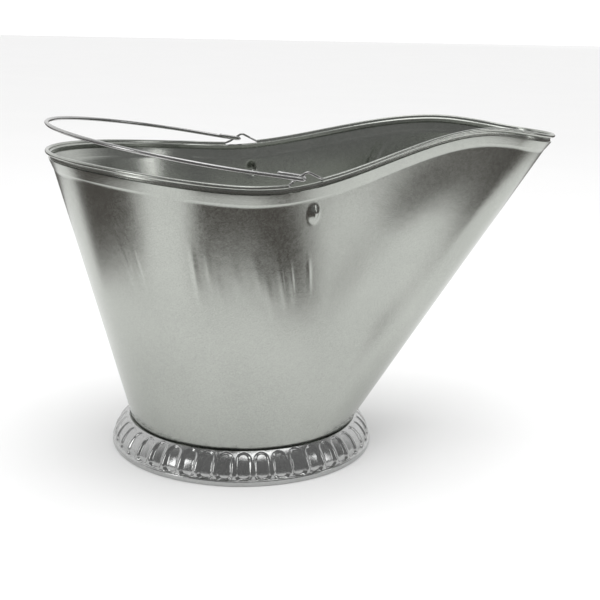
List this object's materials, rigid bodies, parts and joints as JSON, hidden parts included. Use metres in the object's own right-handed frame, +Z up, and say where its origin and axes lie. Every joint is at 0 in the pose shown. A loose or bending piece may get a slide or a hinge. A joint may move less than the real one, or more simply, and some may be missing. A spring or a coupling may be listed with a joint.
{
  "type": "feed bucket",
  "caption": "Galvanized sheet-steel feed bucket with a pouring spout, a wired rim, a swinging wire bail and a fluted foot ring.",
  "frame": {"origin": "centre of the foot ring, on the floor it stands on", "axes": "+X towards the spout, +Z up, +Y to the bucket's left seen from behind"},
  "size_m": [0.4352, 0.2862, 0.2756],
  "materials": {
    "galvanized_sheet": "satin",
    "galvanized_wire": "satin"
  },
  "bodies": {
    "bucket": {"body_shell": "galvanized_sheet", "bottom_plate": "galvanized_sheet", "foot_ring": "galvanized_sheet", "rim_wire": "galvanized_wire"},
    "bail": {"bail_handle": "galvanized_wire"}
  },
  "joints": [
    {"name": "bail_swing", "type": "hinge", "parent": "bucket", "child": "bail", "pos_m": [0.019, 0, 0.2461], "axis": [0, 1, 0], "range_deg": [0, 150]}
  ]
}
